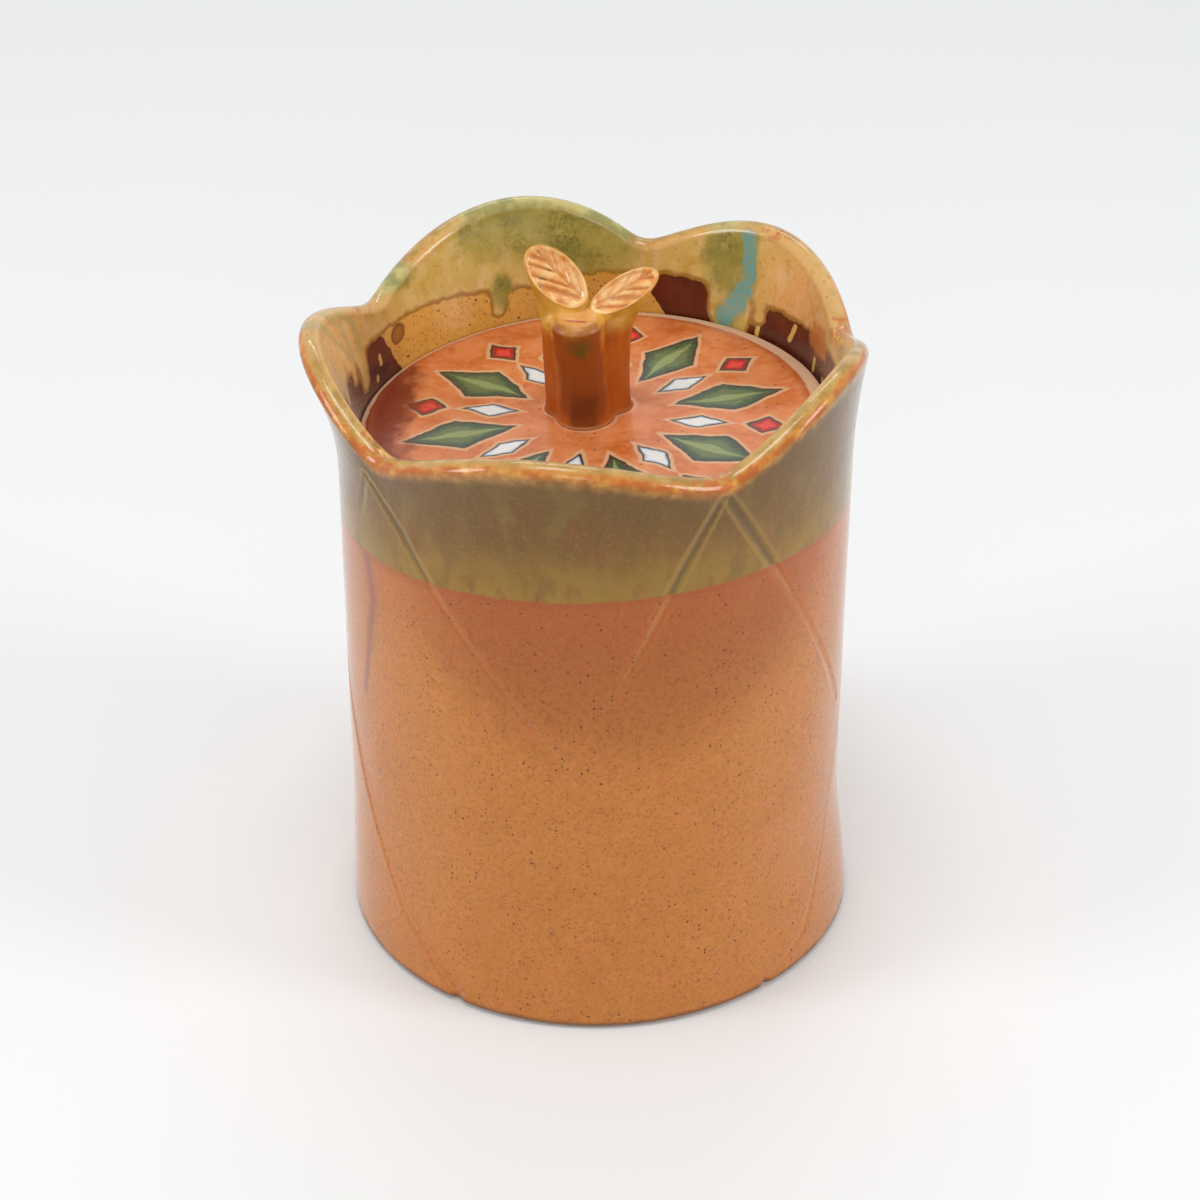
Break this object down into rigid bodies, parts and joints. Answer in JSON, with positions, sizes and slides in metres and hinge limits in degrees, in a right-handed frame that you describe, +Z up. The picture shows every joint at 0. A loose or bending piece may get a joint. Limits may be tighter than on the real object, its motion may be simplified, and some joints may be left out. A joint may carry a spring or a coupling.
{
  "type": "coffee canister",
  "caption": "Round hand-built stoneware canister with a flared scalloped rim and a flat lift-off lid resting inside it, lifted by a knob shaped like a leafy sprout.",
  "frame": {"origin": "centre of the underside, on the surface that the canister stands on", "axes": "+Z up along the canister's height, -Y towards the front lobe of the rim, +X to the right seen from the front"},
  "size_m": [0.1352, 0.1333, 0.1806],
  "materials": {
    "speckled_glaze": "glossy speckled tan-orange glaze, olive towards the rim and amber on the lip",
    "bare_clay": "unglazed fired stoneware, matt",
    "liner_glaze": "glossy tan liner glaze",
    "lid_glaze": "glossy terracotta glaze with hand-painted decoration and a bare edge",
    "stalk_glaze": "glossy amber-brown glaze, darker where it has run",
    "leaf_glaze": "glossy amber glaze over incised veins"
  },
  "bodies": {
    "canister": {"wall_slab": "speckled_glaze", "base_slab": "bare_clay", "corner_coil": "liner_glaze", "lid_ledge": "liner_glaze"},
    "lid": {"lid_disc": "lid_glaze", "lid_flange": "bare_clay", "knob_stalk": "stalk_glaze", "knob_left_leaf": "leaf_glaze", "knob_right_leaf": "leaf_glaze"}
  },
  "joints": [
    {"name": "lid_lift", "type": "slide", "parent": "canister", "child": "lid", "axis": [0, 0, 1], "range_m": [0, 0.08]}
  ]
}
